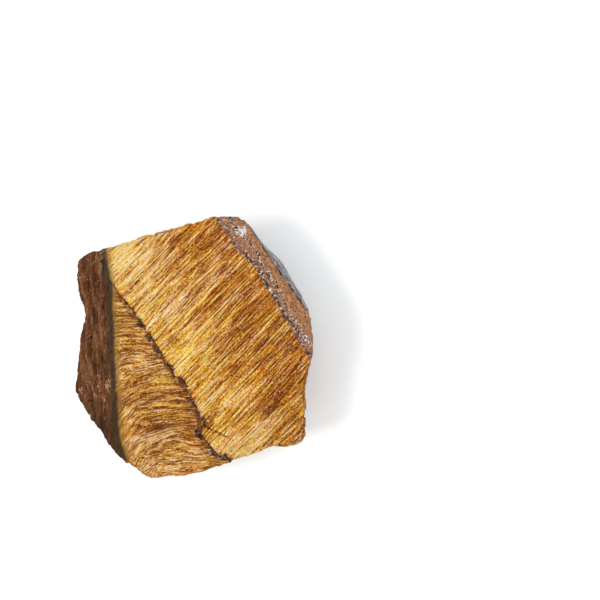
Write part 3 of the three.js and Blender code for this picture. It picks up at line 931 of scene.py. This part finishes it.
class StoneColours(bpy.types.PropertyGroup):
    """Colours of the stone's layers."""

    umber: colour_setting("Umber", "The darkest streaks of the fibres", (0.0926, 0.0169, 0.0004))
    amber_deep: colour_setting("Deep amber", "The dark streaks of the warm fibres", (0.2111, 0.0561, 0.0019))
    amber: colour_setting("Amber", "The middle tone of the warm fibres", (0.3565, 0.1159, 0.0072))
    honey: colour_setting("Honey", "The light streaks of the warm fibres", (0.4981, 0.2261, 0.0297))
    ember: colour_setting("Ember", "The orange patches of the fibres", (0.4064, 0.0855, 0.0007))
    straw_deep: colour_setting(
        "Deep straw", "The dark streaks of the yellow fibres", (0.2481, 0.0770, 0.0015))
    straw: colour_setting("Straw", "The middle tone of the yellow fibres", (0.4742, 0.2111, 0.0056))
    straw_light: colour_setting(
        "Light straw", "The light streaks of the yellow fibres", (0.6009, 0.3894, 0.0400))
    cream: colour_setting("Cream", "The brightest streaks of the fibres", (0.6173, 0.4981, 0.2481))
    # Milk is partly whitish quartz flecks and partly painted glints.
    milk_and_glint: colour_setting("Milk And Glint", "The whitish quartz flecks among the fibres", (0.5533, 0.4021, 0.2613))
    dusky: colour_setting(
        "Dusky", "The dull pinkish-brown flecks among the fibres", (0.2170, 0.0963, 0.0574))
    seam: colour_setting("Seam", "The dark filling of the seam", (0.0152, 0.0078, 0.0042))
    crust: colour_setting("Crust", "The middle tone of the crust", (0.0787, 0.0279, 0.0089))
    crust_red: colour_setting("Red crust", "The reddish patches of the crust", (0.0890, 0.0279, 0.0099))
    crust_dark: colour_setting("Dark crust", "The furrows of the crust", (0.0131, 0.0050, 0.0015))
    # Light crust colours the worn ridges and is also laid on raised crust as a painted highlight.
    crust_light: colour_setting("Light crust", "The worn ridges of the crust", (0.1828, 0.0890, 0.0423))
    crust_pale: colour_setting(
        "Pale crust", "The scratches and pale marks on the crust", (0.3479, 0.2177, 0.1214))
    selvage: colour_setting(
        "Selvage", "The dark band where the crust meets the fibres", (0.0336, 0.0244, 0.0120))
    selvage_gold: colour_setting(
        "Selvage gold", "The dull gold beside the dark band", (0.2052, 0.1098, 0.0212))
    rust: colour_setting("Rust", "The orange-brown layer of the ironstone", (0.2853, 0.1322, 0.0588))
    rust_dull: colour_setting("Dull rust", "The duller layer of the ironstone", (0.2485, 0.1193, 0.0659))
    rust_dark: colour_setting("Dark rust", "The dark grains of the rusty layers", (0.0705, 0.0290, 0.0152))
    rust_pale: colour_setting("Pale rust", "The pale grains of the rusty layers", (0.4051, 0.2236, 0.1214))
    hematite: colour_setting("Hematite", "The black grains of the ironstone", (0.0152, 0.0096, 0.0117))
    iron_dull: colour_setting(
        "Dull iron", "The brown-grey grains of the ironstone", (0.0834, 0.0561, 0.0508))
    iron_brown: colour_setting(
        "Iron brown", "The brown grains of the ironstone's dark lines", (0.0459, 0.0255, 0.0192))
    iron_grey: colour_setting(
        "Iron grey", "The pale grains of the ironstone's dark lines", (0.1784, 0.1257, 0.1014))
    slate: colour_setting("Slate", "The grey of the silky rim", (0.2003, 0.1811, 0.1891))
    slate_dark: colour_setting("Dark slate", "The dark streaks of the silky rim", (0.0534, 0.0471, 0.0574))
    slate_pale: colour_setting("Pale slate", "The pale streaks of the silky rim", (0.3678, 0.3519, 0.3598))
    quartz: colour_setting("Quartz", "The white specks in the ironstone", (0.5552, 0.5249, 0.5053))


class StudioSettings(bpy.types.PropertyGroup):
    """The camera, the lights and the floor."""

    frame_width: FloatProperty(
        name="Frame width", description="Width of the view at the main face", default=138 * MM,
        unit="LENGTH")
    look_x: FloatProperty(
        name="Look at X", description="Middle of the view along X", default=25.0 * MM, unit="LENGTH")
    look_y: FloatProperty(
        name="Look at Y", description="Middle of the view along Y", default=11.2 * MM, unit="LENGTH")
    lens: FloatProperty(name="Lens", description="Focal length of the camera, in millimetres", default=150)
    floor_size: FloatProperty(name="Floor", description="Side of the floor", default=4.0, unit="LENGTH")
    floor_colour: colour_setting("Floor colour", "Colour of the floor", (0.88, 0.9, 0.91))
    sky: FloatProperty(
        name="Sky", description="Strength of the even light from all around", default=1.15, min=0)
    key: FloatProperty(name="Key light", description="Power of the softbox, in watts", default=4.5, min=0)


# ---------------------------------------------------------------- operators and panel


class TIGERSEYE_OT_stone(bpy.types.Operator):
    """Break the stone's surface and finish it"""

    bl_idname = "tigerseye.stone"
    bl_label = "Make the stone"

    def execute(self, context):
        shape = context.scene.tigerseye_shape
        mesh = fine_blank(shape)
        normals = break_surface(mesh, shape)
        map_charts(mesh, normals)
        mesh.shade_smooth()
        mesh.materials.append(stone_material(context.scene.tigerseye_colours))
        stone = bpy.data.objects.new("tigers_eye_surface", mesh)
        context.scene.collection.objects.link(stone)
        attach(stone, "root")
        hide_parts(NODE)
        return {"FINISHED"}


class TIGERSEYE_OT_studio(bpy.types.Operator):
    """Set up the floor, the lights and the camera"""

    bl_idname = "tigerseye.studio"
    bl_label = "Make the studio"

    def execute(self, context):
        studio = context.scene.tigerseye_studio
        self.lay_floor(context, studio)
        self.hang_lights(context, studio)
        self.set_camera(context, studio)
        context.scene.view_settings.view_transform = "Standard"
        return {"FINISHED"}

    def lay_floor(self, context, studio):
        """The plain pale floor."""
        half = studio.floor_size / 2
        mesh = bpy.data.meshes.new("studio_floor")
        corners = [(-half, -half, 0), (half, -half, 0), (half, half, 0), (-half, half, 0)]
        mesh.from_pydata(corners, [], [(0, 1, 2, 3)])
        material = bpy.data.materials.new("studio_floor_finish")
        material.use_nodes = True
        shader = material.node_tree.nodes["Principled BSDF"]
        shader.inputs["Base Color"].default_value = (*studio.floor_colour, 1)
        shader.inputs["Roughness"].default_value = 0.9
        shader.inputs["Specular IOR Level"].default_value = 0.1
        mesh.materials.append(material)
        floor = bpy.data.objects.new("studio_floor", mesh)
        context.scene.collection.objects.link(floor)

    def hang_lights(self, context, studio):
        """An even sky and one large softbox above the crust's side."""
        world = bpy.data.worlds.new("studio_sky")
        world.use_nodes = True
        background = world.node_tree.nodes["Background"]
        background.inputs["Color"].default_value = (1, 1, 1, 1)
        background.inputs["Strength"].default_value = studio.sky
        context.scene.world = world
        lamp = bpy.data.lights.new("softbox", "AREA")
        lamp.shape = "DISK"
        lamp.size = SOFTBOX_SIZE
        lamp.energy = studio.key
        softbox = bpy.data.objects.new("softbox", lamp)
        softbox.location = Vector(SOFTBOX_PLACE)
        softbox.rotation_euler = (-softbox.location).to_track_quat("-Z", "Y").to_euler()
        context.scene.collection.objects.link(softbox)

    def set_camera(self, context, studio):
        """A camera that looks straight down."""
        lens = bpy.data.cameras.new("studio_camera")
        lens.lens = studio.lens
        lens.clip_end = 20
        camera = bpy.data.objects.new("studio_camera", lens)
        distance = studio.frame_width * studio.lens / lens.sensor_width
        camera.location = (studio.look_x, studio.look_y, HIGHEST.z + distance)
        context.scene.collection.objects.link(camera)
        context.scene.camera = camera


class TIGERSEYE_PT_panel(bpy.types.Panel):
    """Lists the settings and the steps"""

    bl_label = "Tiger's Eye"
    bl_idname = "TIGERSEYE_PT_panel"
    bl_space_type = "VIEW_3D"
    bl_region_type = "UI"
    bl_category = "Tiger's Eye"

    def draw(self, context):
        groups = (
            (TIGERSEYE_OT_stone, (context.scene.tigerseye_shape, context.scene.tigerseye_colours)),
            (TIGERSEYE_OT_studio, (context.scene.tigerseye_studio,)),
        )
        for operator, settings in groups:
            box = self.layout.box()
            for group in settings:
                for name in group.__annotations__:
                    box.prop(group, name)
            box.operator(operator.bl_idname)


CLASSES = (
    StoneShape, StoneColours, StudioSettings, TIGERSEYE_OT_stone, TIGERSEYE_OT_studio, TIGERSEYE_PT_panel,
)


def register():
    for cls in CLASSES:
        bpy.utils.register_class(cls)
    bpy.types.Scene.tigerseye_shape = PointerProperty(type=StoneShape)
    bpy.types.Scene.tigerseye_colours = PointerProperty(type=StoneColours)
    bpy.types.Scene.tigerseye_studio = PointerProperty(type=StudioSettings)


def unregister():
    del bpy.types.Scene.tigerseye_studio
    del bpy.types.Scene.tigerseye_colours
    del bpy.types.Scene.tigerseye_shape
    for cls in reversed(CLASSES):
        bpy.utils.unregister_class(cls)


def main():
    """Makes the stone and the studio."""
    register()
    bpy.ops.tigerseye.stone()
    bpy.ops.tigerseye.studio()


if __name__ == "__main__":
    main()
